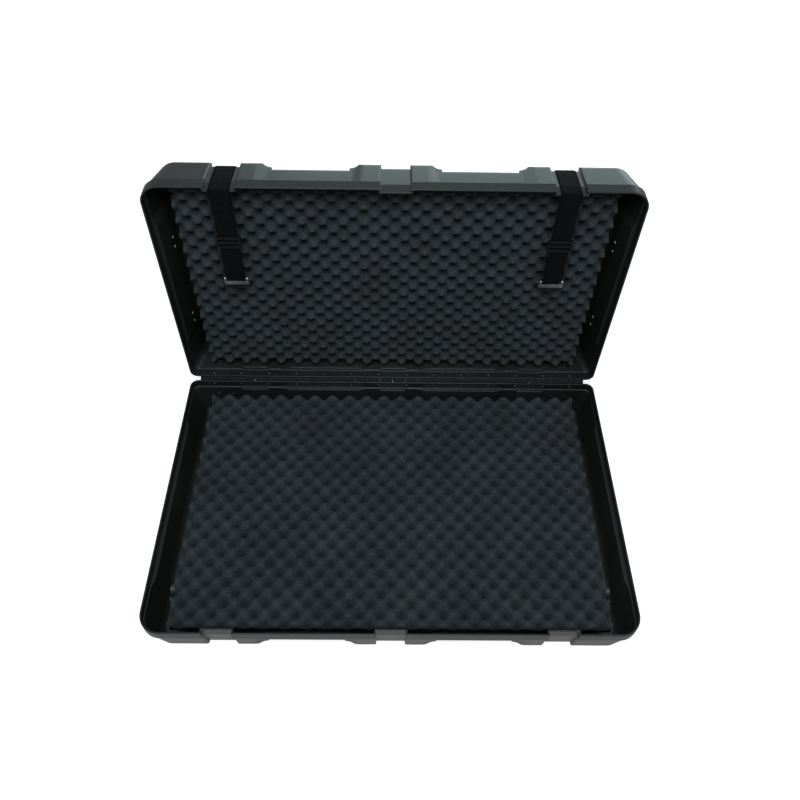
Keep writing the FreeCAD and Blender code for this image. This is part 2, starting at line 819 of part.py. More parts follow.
def export_casters():
    """Two fixed casters on the back wall of each shell, with their rivets."""
    pieces = {"caster_fork": build_caster_fork(), "caster_axle": build_caster_axle(),
              "wheel_hub": build_wheel_hub(), "wheel_tyre": build_wheel_tyre()}
    base_rivets, lid_rivets = [], []
    for side, x in (("left", -caster_place_x), ("right", caster_place_x)):
        for name, shape in pieces.items():
            seated = to_back_wall(shape)
            export(name + "_base_" + side, to_base(moved(seated, x=x)))
            export(name + "_lid_" + side, to_lid(moved(half_turn(seated), x=x)))
        rivets = [to_back_wall(one) for one in caster_rivets()]
        base_rivets += [to_base(moved(one, x=x)) for one in rivets]
        lid_rivets += [to_lid(moved(half_turn(one), x=x)) for one in rivets]
    return base_rivets, lid_rivets


def export_straps():
    base_rivets, lid_rivets = [], []
    for side, x in (("left", -strap_place_x), ("right", strap_place_x)):
        export("lid_strap_" + side, to_lid(build_strap(x)))
        export("strap_slider_" + side, to_lid(build_slider(x)))
        export("strap_hook_" + side, to_lid(build_hook(x)))
        export("strap_catch_" + side, to_base(build_catch(x)))
        lid_rivets += [to_lid(one) for one in strap_rivets(x)]
        base_rivets += [to_base(one) for one in catch_rivets(x)]
    return base_rivets, lid_rivets


def export_handles():
    grip = to_end_wall(build_handle_grip())
    caps = to_end_wall(build_handle_caps())
    rivets = [to_end_wall(one) for one in handle_rivets()]
    export("handle_grip_right", to_lid(grip))
    export("handle_caps_right", to_lid(caps))
    export("handle_grip_left", to_lid(mirrored_x(grip)))
    export("handle_caps_left", to_lid(mirrored_x(caps)))
    return [to_lid(one) for one in rivets] + [to_lid(mirrored_x(one)) for one in rivets]


def main():
    os.makedirs("parts", exist_ok=True)
    shell = build_shell()
    export("base_shell", to_base(shell))
    export("lid_shell", to_lid(build_lid_shell(shell)))
    sheet = build_foam_sheet()
    pad = build_foam_pad()
    export("base_foam", to_base(sheet))
    export("base_foam_pad", to_base(pad))
    export("lid_foam", to_lid(sheet))
    export("lid_foam_pad", to_lid(pad))
    base_rivets, lid_rivets = [], export_handles()
    for base_part, lid_part in (export_hinges(), export_casters(), export_straps()):
        base_rivets += base_part
        lid_rivets += lid_part
    export("base_rivets", Part.makeCompound(base_rivets))
    export("lid_rivets", Part.makeCompound(lid_rivets))


main()
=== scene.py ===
import json
import math

import bmesh
import bpy
import numpy
from mathutils import Matrix, Vector

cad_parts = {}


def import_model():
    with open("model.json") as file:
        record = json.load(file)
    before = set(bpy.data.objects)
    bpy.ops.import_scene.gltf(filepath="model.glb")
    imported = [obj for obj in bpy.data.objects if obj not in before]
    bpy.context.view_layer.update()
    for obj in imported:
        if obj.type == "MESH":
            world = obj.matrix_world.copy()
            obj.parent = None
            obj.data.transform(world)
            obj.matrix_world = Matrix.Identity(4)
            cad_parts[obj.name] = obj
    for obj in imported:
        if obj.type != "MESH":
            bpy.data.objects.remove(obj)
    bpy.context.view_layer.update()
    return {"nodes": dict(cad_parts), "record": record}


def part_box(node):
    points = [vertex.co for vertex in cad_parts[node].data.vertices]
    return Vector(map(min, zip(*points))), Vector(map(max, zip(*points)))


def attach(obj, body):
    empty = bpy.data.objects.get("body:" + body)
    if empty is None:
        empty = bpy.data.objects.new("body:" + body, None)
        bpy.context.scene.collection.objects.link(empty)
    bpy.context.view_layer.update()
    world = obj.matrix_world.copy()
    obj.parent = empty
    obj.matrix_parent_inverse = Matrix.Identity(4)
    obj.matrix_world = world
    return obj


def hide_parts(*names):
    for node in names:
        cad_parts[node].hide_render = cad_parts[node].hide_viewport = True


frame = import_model()

# Photograph frame, in pixels, and the camera that took it
IMAGE_SIZE = 800
FOCAL_LENGTH = 783.8
CENTRE_COLUMN = 400.0
CENTRE_ROW = 283.0
CAMERA_PLACE = Vector((-0.0110, -1.0812, 2.0154))
CAMERA_PITCH = math.radians(46.743)
CAMERA_YAW = math.radians(-1.071)
CAMERA_ROLL = math.radians(1.413)
SENSOR_WIDTH = 36.0

# Egg-crate foam, in metres. A crown power below 1 makes the peaks broader than the dips.
FOAM_HALF_PITCH = 0.0254
FOAM_WAVE = 0.026
FOAM_CROWN_POWER = 0.75
FOAM_STEPS = 5
FOAM_LUMP = 0.0022
FOAM_LUMPS_PER_METRE = 26.0
PAD_EDGE = 0.003
PAD_CUTS = 3

# Webbing straps, in metres
STRAP_WIDTH = 0.050
STRAP_THICKNESS = 0.0020
STRAP_HALF_COLUMNS = 6
STRAP_PANEL_RUN = 0.190
STRAP_LEAN = 0.0131
STRAP_EDGE_BEND = 0.0213
STRAP_BAND_BEND = 0.020
STRAP_RIM_BEND = 0.0017
STRAP_LOOP = 0.0036
STRAP_LOOP_BEND = 0.98 * STRAP_LOOP
STRAP_LOOP_HEIGHT = 5 * STRAP_LOOP
STRAP_TAB = 0.030
RIM_BAND = 0.029

# Sewn boxes on the straps, in metres. The thread's radii are shares of a stitch.
STITCH_LENGTH = 0.0032
STITCH_BOX = (0.034, 0.022)
STITCH_THREAD = 0.14
STITCH_REACH = 0.42

# Washers between the hinges, in metres
WASHER_RADIUS = 0.0044
WASHER_THICKNESS = 0.00196
HINGE_ORDER = ("left_end", "left", "right", "right_end")

# Rivet heads, in metres. The dome is a share of the head, the flange a share of the rise.
RIVET_HEAD = 0.0052
RIVET_RISE = 0.0024
RIVET_DOME = 0.82
RIVET_FLANGE = 0.2
RIVET_MERGE = 1e-6

# Colour casts of the finishes
SHELL_CAST = (0.84, 1.0, 0.99)
FOAM_CAST = (0.76, 0.99, 1.19)
THREAD_CAST = (0.8, 1.0, 1.15)
WEBBING_GLOSS_CAST = (0.8, 0.95, 1.1)
MOULDING_CAST = (0.82, 1.0, 1.1)
METAL_CAST = (0.93, 1.0, 1.07)

# Stage: glows are what the camera sees and what mirrored rays see
FLOOR_REACH = 14.0
FLOOR_GREY = 0.55
FLOOR_GLOW = (0.78, 0.08)
SKY_GLOW = (1.0, 0.45)
SKY_LIGHT = 0.24
OVERHEAD = {"place": (0.0, -1.1, 3.3), "aim": (0.0, 0.1, 0.4), "size": (2.0, 1.2), "power": 96.0}
BACK_PANEL = {"place": (1.1, 3.6, 1.2), "aim": (0.75, 0.3, 0.5), "size": (4.0, 2.0), "power": 53.0,
              "colour": (0.79, 1.0, 1.03)}

scene = bpy.context.scene
scene.view_settings.view_transform = "Standard"


# Node helpers

class Tree:
    """A node tree with short calls to add nodes and join their sockets."""

    def __init__(self, tree):
        self.tree = tree

    def add(self, kind, links=None, **settings):
        node = self.tree.nodes.new(kind)
        for name, value in settings.items():
            setattr(node, name, value)
        for socket, source in (links or {}).items():
            self.put(node, socket, source)
        return node

    def put(self, node, socket, source):
        target = node.inputs[socket]
        if hasattr(source, "is_output"):
            self.tree.links.new(source, target)
        else:
            target.default_value = source

    def math(self, operation, first, second=0.0):
        return self.add("ShaderNodeMath", {0: first, 1: second}, operation=operation).outputs[0]


def new_material(name):
    """A material with only a Principled surface. Returns it, its tree and the shader."""
    material = bpy.data.materials.new(name)
    material.use_nodes = True
    material.node_tree.nodes.clear()
    tree = Tree(material.node_tree)
    shader = tree.add("ShaderNodeBsdfPrincipled")
    tree.add("ShaderNodeOutputMaterial", {"Surface": shader.outputs[0]})
    return material, tree, shader


def object_noise(tree, scale, detail, roughness, stretch=None):
    """Noise on Object coordinates, in features per metre."""
    place = tree.add("ShaderNodeTexCoord").outputs["Object"]
    if stretch:
        place = tree.add("ShaderNodeMapping", {"Vector": place, "Scale": stretch}).outputs[0]
    noise = tree.add("ShaderNodeTexNoise", {
        "Vector": place, "Scale": scale, "Detail": detail, "Roughness": roughness})
    return noise.outputs["Fac"]


def ramp(tree, factor, stops):
    """Colour ramp over (position, colour) stops."""
    node = tree.add("ShaderNodeValToRGB", {"Fac": factor})
    points = node.color_ramp.elements
    points[0].position, points[0].color = stops[0]
    points[1].position, points[1].color = stops[-1]
    for position, colour in stops[1:-1]:
        points.new(position).color = colour
    return node.outputs["Color"]


def grey(value, cast=(1.0, 1.0, 1.0)):
    """A grey with a slight cast, as a colour."""
    return (value * cast[0], value * cast[1], value * cast[2], 1.0)


def mix_colours(tree, factor, first, second, blend="MIX"):
    """Blends two colours. Sockets 6 and 7 and output 2 are the node's colour ones."""
    node = tree.add("ShaderNodeMix", data_type="RGBA", blend_type=blend)
    tree.put(node, 0, factor)
    tree.put(node, 6, first)
    tree.put(node, 7, second)
    return node.outputs[2]


def span(tree, factor, low, high):
    """Maps a 0 to 1 factor to low to high."""
    return tree.add("ShaderNodeMapRange", {"Value": factor, "To Min": low, "To Max": high}).outputs["Result"]


def bump(tree, height, strength, distance, normal=None):
    """Normal of a height pattern as deep as the distance, over another normal if one is given."""
    links = {"Height": height, "Strength": strength, "Distance": distance}
    if normal is not None:
        links["Normal"] = normal
    return tree.add("ShaderNodeBump", links).outputs["Normal"]


def soft_edges(tree, radius):
    """Normal that rounds sharp edges by a small radius."""
    return tree.add("ShaderNodeBevel", {"Radius": radius}, samples=6).outputs[0]


# Finishes

def shell_plastic():
    """Satin moulded polyethylene: fine pebble grain, faint flow marks and handling scuffs."""
    material, tree, shader = new_material("shell_plastic")
    broad = object_noise(tree, scale=5.0, detail=5.0, roughness=0.6)
    grain = object_noise(tree, scale=900.0, detail=2.0, roughness=0.5)
    scuffs = object_noise(tree, scale=42.0, detail=6.0, roughness=0.7, stretch=(1.0, 5.0, 1.0))
    clean = ramp(tree, broad, [(0.3, grey(0.009, SHELL_CAST)), (0.7, grey(0.015, SHELL_CAST))])
    worn = ramp(tree, scuffs, [(0.62, grey(0.0)), (0.78, grey(1.0))])
    colour = mix_colours(tree, tree.math("MULTIPLY", worn, 0.10), clean, grey(0.08, SHELL_CAST))
    tree.put(shader, "Base Color", colour)
    rough = tree.math("ADD", span(tree, broad, 0.28, 0.38), span(tree, scuffs, -0.05, 0.06))
    tree.put(shader, "Roughness", rough)
    shader.inputs["Specular IOR Level"].default_value = 0.4
    shader.inputs["Specular Tint"].default_value = grey(1.0, SHELL_CAST)
    normal = bump(tree, grain, strength=0.16, distance=0.0004, normal=soft_edges(tree, 0.003))
    tree.put(shader, "Normal", normal)
    return material


def foam_charcoal():
    """Open-cell polyurethane foam: dull charcoal with a cool cast and fine pores.

    The attribute crest is 1 on the peaks and 0 in the dips; the colour darkens towards the dips as painted
    shade."""
    material, tree, shader = new_material("foam_charcoal")
    pores = object_noise(tree, scale=700.0, detail=5.0, roughness=0.75)
    patches = object_noise(tree, scale=9.0, detail=3.0, roughness=0.5)
    mottle = object_noise(tree, scale=130.0, detail=3.0, roughness=0.6)
    cloudy = tree.math("ADD", tree.math("MULTIPLY", patches, 0.4), tree.math("MULTIPLY", mottle, 0.6))
    light = ramp(tree, cloudy, [(0.36, grey(0.026, FOAM_CAST)), (0.64, grey(0.050, FOAM_CAST))])
    crest = tree.add("ShaderNodeAttribute", attribute_name="crest").outputs["Fac"]
    # Painted shade: the colour darkens from the peaks into the dips, where occlusion would fall.
    painted_dip_shade = ramp(tree, crest, [(0.0, grey(0.22)), (0.5, grey(0.62)), (0.9, grey(1.0))])
    shaded = mix_colours(tree, 1.0, light, painted_dip_shade, blend="MULTIPLY")
    pitted = ramp(tree, pores, [(0.32, grey(0.35)), (0.62, grey(1.15))])
    tree.put(shader, "Base Color", mix_colours(tree, 0.75, shaded, pitted, blend="MULTIPLY"))
    shader.inputs["Roughness"].default_value = 0.95
    shader.inputs["Specular IOR Level"].default_value = 0.12
    shader.inputs["Sheen Weight"].default_value = 0.04
    shader.inputs["Sheen Roughness"].default_value = 0.6
    tree.put(shader, "Normal", bump(tree, pores, strength=0.5, distance=0.0012))
    return material


def webbing_black():
    """Woven nylon webbing. UV is in metres: U across the strap, V along it."""
    herringbone, pick, end = 0.0055, 0.0021, 0.0017
    material, tree, shader = new_material("webbing_black")
    uv = tree.add("ShaderNodeTexCoord").outputs["UV"]
    parts = tree.add("ShaderNodeSeparateXYZ", {0: uv})
    across, along = parts.outputs[0], parts.outputs[1]
    zigzag = tree.math("PINGPONG", across, herringbone)
    diagonal = tree.math("ADD", along, tree.math("MULTIPLY", zigzag, 0.8))
    picks = tree.math("SINE", tree.math("MULTIPLY", diagonal, 2 * math.pi / pick))
    ends = tree.math("SINE", tree.math("MULTIPLY", across, 2 * math.pi / end))
    weave = tree.math("ADD", tree.math("MULTIPLY", picks, 0.3), tree.math("MULTIPLY", ends, 0.2))
    weave = tree.math("ADD", weave, 0.5)
    fuzz = object_noise(tree, scale=420.0, detail=3.0, roughness=0.6)
    threads = tree.math("MULTIPLY", weave, tree.math("ADD", fuzz, 0.5))
    colour = ramp(tree, threads, [(0.15, grey(0.0015)), (0.85, grey(0.006, THREAD_CAST))])
    tree.put(shader, "Base Color", colour)
    tree.put(shader, "Roughness", span(tree, weave, 0.85, 0.6))
    shader.inputs["Specular IOR Level"].default_value = 0.05
    shader.inputs["Specular Tint"].default_value = grey(1.0, WEBBING_GLOSS_CAST)
    creases = object_noise(tree, scale=16.0, detail=3.0, roughness=0.5, stretch=(1.0, 1.0, 2.5))
    wavy = bump(tree, creases, strength=0.5, distance=0.008)
    tree.put(shader, "Normal", bump(tree, weave, strength=0.6, distance=0.0005, normal=wavy))
    return material


def moulded_plastic(name, value, low, high, gloss=0.5):
    """Dark injection moulding with a light grain and uneven gloss, from low to high roughness."""
    material, tree, shader = new_material(name)
    broad = object_noise(tree, scale=30.0, detail=4.0, roughness=0.6)
    grain = object_noise(tree, scale=800.0, detail=2.0, roughness=0.5)
    shader.inputs["Specular IOR Level"].default_value = gloss
    shader.inputs["Specular Tint"].default_value = grey(0.9, MOULDING_CAST)
    dark, light = grey(value * 0.8, MOULDING_CAST), grey(value * 1.25, MOULDING_CAST)
    tree.put(shader, "Base Color", ramp(tree, broad, [(0.3, dark), (0.7, light)]))
    tree.put(shader, "Roughness", span(tree, broad, low, high))
    normal = bump(tree, grain, strength=0.15, distance=0.0003, normal=soft_edges(tree, 0.0012))
    tree.put(shader, "Normal", normal)
    return material


def soft_rubber(name, value):
    """Dull rubber with dust in its grain."""
    material, tree, shader = new_material(name)
    broad = object_noise(tree, scale=60.0, detail=5.0, roughness=0.65)
    grain = object_noise(tree, scale=1100.0, detail=3.0, roughness=0.6)
    tree.put(shader, "Base Color", ramp(tree, broad, [(0.35, grey(value)), (0.75, grey(value * 2.2))]))
    tree.put(shader, "Roughness", span(tree, broad, 0.62, 0.85))
    tree.put(shader, "Normal", bump(tree, grain, strength=0.25, distance=0.0004))
    return material


def worn_metal(name, value, low, high, brush=(1.0, 1.0, 1.0)):
    """Metal with fine drawn lines and uneven polish, from low to high roughness."""
    material, tree, shader = new_material(name)
    lines = object_noise(tree, scale=500.0, detail=3.0, roughness=0.6, stretch=brush)
    broad = object_noise(tree, scale=35.0, detail=5.0, roughness=0.6)
    dull, bright = grey(value * 0.82, METAL_CAST), grey(value, METAL_CAST)
    tree.put(shader, "Base Color", ramp(tree, broad, [(0.3, dull), (0.7, bright)]))
    shader.inputs["Metallic"].default_value = 1.0
    rough = tree.math("ADD", span(tree, broad, low, high), span(tree, lines, -0.05, 0.08))
    tree.put(shader, "Roughness", rough)
    normal = bump(tree, lines, strength=0.12, distance=0.0002, normal=soft_edges(tree, 0.0008))
    tree.put(shader, "Normal", normal)
    return material


def rivet_finish():
    """Bare aluminium, or black paint where the heads carry the attribute coated."""
    material, tree, shader = new_material("rivet_finish")
    coated = tree.add("ShaderNodeAttribute", attribute_name="coated").outputs["Fac"]
    broad = object_noise(tree, scale=300.0, detail=4.0, roughness=0.6)
    bare = ramp(tree, broad, [(0.3, grey(0.62)), (0.7, grey(0.78))])
    paint = ramp(tree, broad, [(0.3, grey(0.008)), (0.7, grey(0.014))])
    tree.put(shader, "Base Color", mix_colours(tree, coated, bare, paint))
    tree.put(shader, "Metallic", span(tree, coated, 0.5, 0.0))
    tree.put(shader, "Roughness", span(tree, broad, 0.22, 0.34))
    return material


MATERIALS = {
    "shell": shell_plastic(),
    "foam": foam_charcoal(),
    "webbing": webbing_black(),
    "steel": worn_metal("bright_steel", 0.52, 0.30, 0.45, brush=(0.1, 1.0, 1.0)),
    "black_steel": moulded_plastic("black_coated_steel", 0.010, 0.5, 0.7, gloss=0.15),
    "zinc_plate": worn_metal("zinc_pressing", 0.60, 0.32, 0.50),
    "hook_metal": worn_metal("bright_plating", 0.44, 0.25, 0.36),
    "rivet": rivet_finish(),
    "hub_plastic": moulded_plastic("hub_plastic", 0.05, 0.35, 0.5),
    "slider_plastic": moulded_plastic("slider_plastic", 0.007, 0.35, 0.50, gloss=0.12),
    "cap_plastic": moulded_plastic("cap_plastic", 0.03, 0.35, 0.5),
    "tyre": soft_rubber("wheel_rubber", 0.022),
    "grip_rubber": soft_rubber("grip_rubber", 0.02),
}


# Piece helpers

def paint_frame():
    """Gives every node of the frame the finish of its slot."""
    for row in frame["record"]["subparts"]:
        mesh = frame["nodes"][row["node"]].data
        mesh.materials.clear()
        mesh.materials.append(MATERIALS[row["material_slot"]])


def link_mesh(name, mesh):
    """Puts a mesh into the scene as an object at the origin."""
    piece = bpy.data.objects.new(name, mesh)
    scene.collection.objects.link(piece)
    return piece


def form_piece(name, form, slot):
    """Turns a hand-made form into a piece with a finish."""
    mesh = bpy.data.meshes.new(name)
    form.to_mesh(mesh)
    form.free()
    mesh.materials.append(MATERIALS[slot])
    return link_mesh(name, mesh)


def finish_piece(piece, body, slot, *nodes):
    """Puts a finished piece on its body and hides what it stands for."""
    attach(piece, body)
    if nodes:
        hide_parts(*nodes)


# Geometry Nodes helpers

def new_group(name, sizes, counts=()):
    """A Geometry Nodes group with geometry in and out, named sizes and named counts."""
    group = bpy.data.node_groups.new(name, "GeometryNodeTree")
    group.interface.new_socket("Geometry", in_out="INPUT", socket_type="NodeSocketGeometry")
    for label in sizes:
        group.interface.new_socket(label, in_out="INPUT", socket_type="NodeSocketFloat")
    for label in counts:
        group.interface.new_socket(label, in_out="INPUT", socket_type="NodeSocketInt")
    group.interface.new_socket("Geometry", in_out="OUTPUT", socket_type="NodeSocketGeometry")
    tree = Tree(group)
    source = tree.add("NodeGroupInput")
    return group, tree, source.outputs


def close_group(tree, geometry, material):
    """Ends a group with Realize Instances and Set Material."""
    real = tree.add("GeometryNodeRealizeInstances", {"Geometry": geometry})
    painted = tree.add("GeometryNodeSetMaterial", {"Geometry": real.outputs[0], "Material": material})
    tree.add("NodeGroupOutput", {0: painted.outputs[0]})


def run_group(name, start_mesh, group, values):
    """Evaluates a group on a mesh and returns the result as a plain object."""
    holder = link_mesh(name + ".nodes", start_mesh)
    modifier = holder.modifiers.new("nodes", "NODES")
    modifier.node_group = group
    for item in group.interface.items_tree:
        if item.in_out == "INPUT" and item.name in values:
            modifier[item.identifier] = values[item.name]
    view = bpy.context.evaluated_depsgraph_get()
    mesh = bpy.data.meshes.new_from_object(holder.evaluated_get(view))
    bpy.data.objects.remove(holder)
    mesh.name = name
    return link_mesh(name, mesh)


def axis_points(rows):
    """Mesh of loose points that carry their axis."""
    mesh = bpy.data.meshes.new("axis_points")
    mesh.from_pydata([place for place, axis in rows], [], [])
    axes = mesh.attributes.new("axis", "FLOAT_VECTOR", "POINT")
    for item, (place, axis) in zip(axes.data, rows):
        item.vector = axis
    return mesh


def spread_on_axis(tree, points, instance, material, smooth=True):
    """Puts an instance on each point with its Z along the point's axis, and closes the group."""
    axis = tree.add("GeometryNodeInputNamedAttribute", {"Name": "axis"}, data_type="FLOAT_VECTOR")
    turn = tree.add("FunctionNodeAlignRotationToVector", {"Vector": axis.outputs[0]}, axis="Z")
    spread = tree.add("GeometryNodeInstanceOnPoints", {
        "Points": points, "Instance": instance, "Rotation": turn.outputs[0]})
    shaded = tree.add("GeometryNodeSetShadeSmooth", {"Geometry": spread.outputs[0], "Shade Smooth": smooth})
    close_group(tree, shaded.outputs[0], material)


# Foam

def egg_crate_group():
    """Closed sheet whose top swells into staggered peaks and sinks into dips between."""
    group, tree, value = new_group(
        "egg_crate", ("Length", "Width", "Thickness", "Wave", "Half Pitch", "Lump", "Seed"),
        counts=("Columns", "Rows"))
    size = tree.add("ShaderNodeCombineXYZ", {0: value["Length"], 1: value["Width"], 2: value["Thickness"]})
    sheet = tree.add("GeometryNodeMeshCube", {
        "Size": size.outputs[0],
        "Vertices X": value["Columns"], "Vertices Y": value["Rows"], "Vertices Z": 2})
    place = tree.add("GeometryNodeInputPosition")
    parts = tree.add("ShaderNodeSeparateXYZ", {0: place.outputs[0]})
    waves = []
    for axis, extent in ((0, "Length"), (1, "Width")):
        from_edge = tree.math("ADD", parts.outputs[axis], tree.math("MULTIPLY", value[extent], 0.5))
        half_waves = tree.math("DIVIDE", from_edge, value["Half Pitch"])
        waves.append(tree.math("COSINE", tree.math("MULTIPLY", half_waves, math.pi)))
    product = tree.math("MULTIPLY", waves[0], waves[1])
    height = tree.math("MULTIPLY", tree.math("ADD", product, 1.0), 0.5)
    crown = tree.math("POWER", height, FOAM_CROWN_POWER)
    noise = tree.add("ShaderNodeTexNoise", {
        "Vector": place.outputs[0], "W": value["Seed"], "Scale": FOAM_LUMPS_PER_METRE, "Detail": 3.0},
        noise_dimensions="4D")
    lump = tree.math("MULTIPLY", tree.math("SUBTRACT", noise.outputs["Fac"], 0.5), value["Lump"])
    rise = tree.math("MULTIPLY", tree.math("SUBTRACT", crown, 1.0), value["Wave"])
    shift = tree.add("ShaderNodeCombineXYZ", {2: tree.math("ADD", rise, lump)})
    is_top = tree.math("GREATER_THAN", parts.outputs[2], 0.0)
    # crest is the height of the top, 1 on the peaks and 0 in the dips; the foam finish turns it into painted
    # shade.
    marked = tree.add("GeometryNodeStoreNamedAttribute", {
        "Geometry": sheet.outputs[0], "Name": "crest", "Value": tree.math("MULTIPLY", crown, is_top)})
    formed = tree.add("GeometryNodeSetPosition", {
        "Geometry": marked.outputs[0], "Selection": is_top, "Offset": shift.outputs[0]})
    smooth = tree.add("GeometryNodeSetShadeSmooth", {"Geometry": formed.outputs[0]})
    close_group(tree, smooth.outputs[0], MATERIALS["foam"])
    return group


def foam_sheets():
    """Egg-crate liners of the base and, turned upright, of the lid."""
    group = egg_crate_group()
    for shell, turn, seed in (("base", 0.0, 1.0), ("lid", math.pi / 2, 2.0)):
        node = shell + "_foam"
        low, high = (Vector(corner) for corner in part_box(node))
        size = high - low
        width, thickness = (size.y, size.z) if shell == "base" else (size.z, size.y)
        sheet = run_group(shell + "_egg_crate", bpy.data.meshes.new("seed"), group, {
            "Length": size.x, "Width": width, "Thickness": thickness,
            "Wave": FOAM_WAVE, "Half Pitch": FOAM_HALF_PITCH, "Lump": FOAM_LUMP, "Seed": seed,
            "Columns": round(size.x / FOAM_HALF_PITCH) * FOAM_STEPS + 1,
            "Rows": round(width / FOAM_HALF_PITCH) * FOAM_STEPS + 1})
        sheet.data.transform(Matrix.Translation((low + high) / 2) @ Matrix.Rotation(turn, 4, "X"))
        finish_piece(sheet, shell, "foam", node)


def foam_pads():
    """Flat foam under each sheet, with softened edges."""
    for shell in ("base", "lid"):
        node = shell + "_foam_pad"
        low, high = (Vector(corner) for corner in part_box(node))
        slab = bmesh.new()
        bmesh.ops.create_cube(slab, size=1.0)
        bmesh.ops.subdivide_edges(slab, edges=slab.edges, cuts=PAD_CUTS, use_grid_fill=True)
        for vert in slab.verts:
            vert.co = (low + high) / 2 + vert.co * (high - low)
        pad = form_piece(shell + "_pad_slab", slab, "foam")
        edge = pad.modifiers.new("edge", "BEVEL")
        edge.width = PAD_EDGE
        edge.segments = 3
        finish_piece(pad, shell, "foam", node)


# Straps

def strap_route(node):
    """Corners of a strap's mid-line as (y, z, radius): panel, front wall, rim, hanging run, loop and tab."""
    low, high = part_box(node)
    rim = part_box("lid_shell")[0][1]
    half = STRAP_THICKNESS / 2
    inside = low[1] + half
    outside = high[1] - half
    top = high[2] - half
    bottom = low[2] + half
    shoulder = top - STRAP_LEAN
    behind = inside + 2 * STRAP_LOOP
    tab = inside + STRAP_THICKNESS
    tab_start = bottom + STRAP_LOOP_HEIGHT
    return [
        (outside, shoulder - STRAP_PANEL_RUN, 0.0),
        (outside, shoulder, STRAP_EDGE_BEND),
        (rim + RIM_BAND, top, STRAP_BAND_BEND),
        (inside, top, STRAP_RIM_BEND),
        (inside, bottom, STRAP_LOOP_BEND),
        (behind, bottom, STRAP_LOOP_BEND),
        (behind, bottom + 2 * STRAP_LOOP, STRAP_LOOP),
        (tab, tab_start, STRAP_LOOP),
        (tab, tab_start + STRAP_TAB, 0.0)]


def rounded_route(corners, arc_steps=6, run_step=0.012):
    """Points along the straight runs and the arcs between them."""
    points = []
    for index, (y, z, radius) in enumerate(corners):
        here = Vector((y, z))
        if index in (0, len(corners) - 1):
            points.append(here)
            continue
        before = (here - Vector(corners[index - 1][:2])).normalized()
        after = (Vector(corners[index + 1][:2]) - here).normalized()
        turn = before.angle(after)
        trim = radius * math.tan(turn / 2)
        inward = (after - before).normalized()
        centre = here + inward * (radius / math.cos(turn / 2))
        first_spoke = (here - before * trim - centre).normalized()
        last_spoke = (here + after * trim - centre).normalized()
        for step in range(arc_steps + 1):
            points.append(centre + first_spoke.slerp(last_spoke, step / arc_steps) * radius)
    filled = [points[0]]
    for start, end in zip(points, points[1:]):
        count = max(1, round((end - start).length / run_step))
        filled += [start.lerp(end, k / count) for k in range(1, count + 1)]
    return filled


def webbing_section():
    """Outline of the webbing as (across, out): two flat faces and rolled selvedges."""
    half, thin = STRAP_WIDTH / 2, STRAP_THICKNESS / 2
    columns = [half * k / STRAP_HALF_COLUMNS for k in range(1 - STRAP_HALF_COLUMNS, STRAP_HALF_COLUMNS)]
    face = [(x, thin) for x in columns]
    back = [(x, -thin) for x in reversed(columns)]
    return face + [(half, 0.0)] + back + [(-half, 0.0)]


def webbing_rows(form, route, section, middle):
    """Rings of points along the route, each with the length of strap before it."""
    rows = []
    travelled = 0.0
    for index, here in enumerate(route):
        ahead = route[min(index + 1, len(route) - 1)]
        behind = route[max(index - 1, 0)]
        direction = (ahead - behind).normalized()
        normal = Vector((-direction.y, direction.x))
        travelled += (here - behind).length
        ring = []
        for across, out in section:
            place = here + normal * out
            ring.append(form.verts.new((middle + across, place.x, place.y)))
        rows.append((ring, travelled))
    return rows


def webbing_faces(form, uv, rows, section):
    """Faces between the rings, mapped in metres across and along, and the two cut ends."""
    for (first, start), (second, end) in zip(rows, rows[1:]):
        for k in range(len(section)):
            after = (k + 1) % len(section)
            face = form.faces.new((first[k], first[after], second[after], second[k]))
            across = (section[k][0], section[after][0], section[after][0], section[k][0])
            for loop, u, v in zip(face.loops, across, (start, start, end, end)):
                loop[uv].uv = (u, v)
            face.smooth = True
    form.faces.new(rows[0][0])
    form.faces.new(list(reversed(rows[-1][0])))
    bmesh.ops.recalc_face_normals(form, faces=form.faces)


def strap_webbing(side):
    """One strap, from its rivets on the panel to the tab behind its loop."""
    node = "lid_strap_" + side
    low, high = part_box(node)
    form = bmesh.new()
    uv = form.loops.layers.uv.new("UVMap")
    section = webbing_section()
    rows = webbing_rows(form, rounded_route(strap_route(node)), section, (low[0] + high[0]) / 2)
    webbing_faces(form, uv, rows, section)
    webbing = form_piece("strap_webbing_" + side, form, "webbing")
    finish_piece(webbing, "lid", "webbing", node)


def stitch_points(side):
    """Place and direction of each stitch of the sewn, crossed box above the strap's loop."""
    low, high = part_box("lid_strap_" + side)
    middle = (low[0] + high[0]) / 2
    front = low[1]
    base = low[2] + STRAP_LOOP_HEIGHT + STRAP_THICKNESS
    half, height = STITCH_BOX[0] / 2, STITCH_BOX[1]
    box = ((-1, 0), (1, 0), (1, 1), (-1, 1))
    corners = [Vector((middle + a * half, front, base + b * height)) for a, b in box]
    edges = list(zip(corners, corners[1:] + corners[:1]))
    crosses = [(corners[0], corners[2]), (corners[1], corners[3])]
    stitches = []
    for start, end in edges + crosses:
        count = round((end - start).length / STITCH_LENGTH)
        direction = (end - start).normalized()
        stitches += [(start.lerp(end, (k + 0.5) / count), direction) for k in range(count)]
    return stitches


def stitch_group():
    """A short bead of thread on each point, laid along the point's axis."""
    group, tree, value = new_group("thread_stitches", ("Length",))
    bead = tree.add("GeometryNodeMeshUVSphere", {"Segments": 8, "Rings": 5, "Radius": 1.0})
    thick = tree.math("MULTIPLY", value["Length"], STITCH_THREAD)
    reach = tree.math("MULTIPLY", value["Length"], STITCH_REACH)
    size = tree.add("ShaderNodeCombineXYZ", {0: thick, 1: thick, 2: reach})
    shaped = tree.add("GeometryNodeTransform", {"Geometry": bead.outputs[0], "Scale": size.outputs[0]})
    spread_on_axis(tree, value["Geometry"], shaped.outputs[0], MATERIALS["webbing"])
    return group


